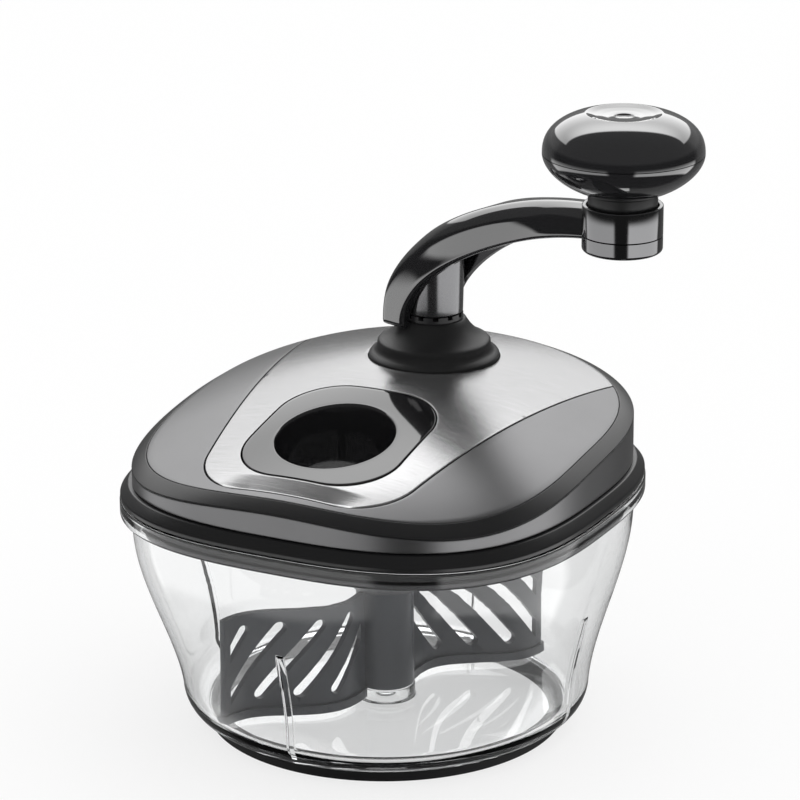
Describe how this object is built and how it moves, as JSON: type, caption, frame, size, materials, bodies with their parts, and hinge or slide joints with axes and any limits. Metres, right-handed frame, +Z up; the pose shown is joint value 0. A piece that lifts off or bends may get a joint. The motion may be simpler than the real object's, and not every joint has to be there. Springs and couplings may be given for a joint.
{
  "type": "hand cranked food chopper",
  "caption": "Hand cranked food chopper: clear bowl, domed lid with a filler opening, and a crank that turns a slotted paddle through a gear pair.",
  "frame": {"origin": "centre of the foot ring's resting plane, on the bowl's axis", "axes": "+Z up along the bowl's axis, -Y towards the front with the filler opening, +X to the right"},
  "size_m": [0.2183, 0.19, 0.2508],
  "materials": {
    "clear_plastic": "clear, polished",
    "black_rubber": "matte",
    "black_plastic": "semi gloss",
    "satin_grey": "satin",
    "brushed_steel": "brushed",
    "surround_black": "gloss",
    "matte_black": "matte",
    "inner_grey": "matte",
    "seal_rubber": "matte",
    "gear_plastic": "matte",
    "steel": "turned",
    "bush_plastic": "matte",
    "bush_black": "matte",
    "sleeve_grey": "semi gloss",
    "gloss_black": "high gloss",
    "dark_chrome": "polished",
    "paddle_grey": "semi gloss"
  },
  "bodies": {
    "bowl": {"bowl": "clear_plastic", "foot_ring": "black_rubber"},
    "lid": {"lid_frame": "black_plastic", "side_trim": "satin_grey", "top_cover": "satin_grey", "trim_plate": "brushed_steel", "filler_ring": "surround_black", "bell_collar": "matte_black", "lid_base": "inner_grey", "rim_seal": "seal_rubber", "gearbox_base": "inner_grey", "gearbox_cover": "inner_grey", "output_bushes": "bush_plastic", "lower_bush": "bush_plastic", "upper_bush": "bush_black", "gearbox_screws": "steel", "lid_screws": "steel"},
    "crank": {"crank_shaft": "steel", "shaft_clip": "steel", "drive_gear": "gear_plastic", "gear_pin": "steel", "shaft_sleeve": "sleeve_grey", "crank_arm": "gloss_black", "arm_pin": "steel", "arm_collar": "dark_chrome", "collar_cap": "dark_chrome", "cap_screws": "steel", "knob_axle": "steel", "knob_clip": "steel"},
    "knob": {"knob_top": "gloss_black", "knob_base": "gloss_black", "knob_neck": "matte_black", "knob_bushes": "bush_plastic"},
    "output": {"pinion": "gear_plastic", "output_shaft": "steel"},
    "paddle": {"paddle": "paddle_grey", "hub_sleeve": "clear_plastic"}
  },
  "joints": [
    {"name": "lid_lift", "type": "slide", "parent": "bowl", "child": "lid", "axis": [0, 0, 1], "range_m": [0, 0.12]},
    {"name": "crank_turn", "type": "hinge", "parent": "lid", "child": "crank", "pos_m": [0, 0.043, 0.13], "axis": [0, 0, 1], "continuous": true},
    {"name": "knob_spin", "type": "hinge", "parent": "crank", "child": "knob", "pos_m": [0.09295, 0.01458, 0.22], "axis": [0, 0, 1], "continuous": true},
    {"name": "output_spin", "type": "hinge", "parent": "lid", "child": "output", "pos_m": [0, 0, 0.1], "axis": [0, 0, 1], "continuous": true},
    {"name": "paddle_spin", "type": "hinge", "parent": "bowl", "child": "paddle", "pos_m": [0, 0, 0.02], "axis": [0, 0, 1], "continuous": true}
  ],
  "couplings": [
    {"joint": "output_spin", "follows": "crank_turn", "ratio": -2.5833},
    {"joint": "paddle_spin", "follows": "crank_turn", "ratio": -2.5833}
  ]
}
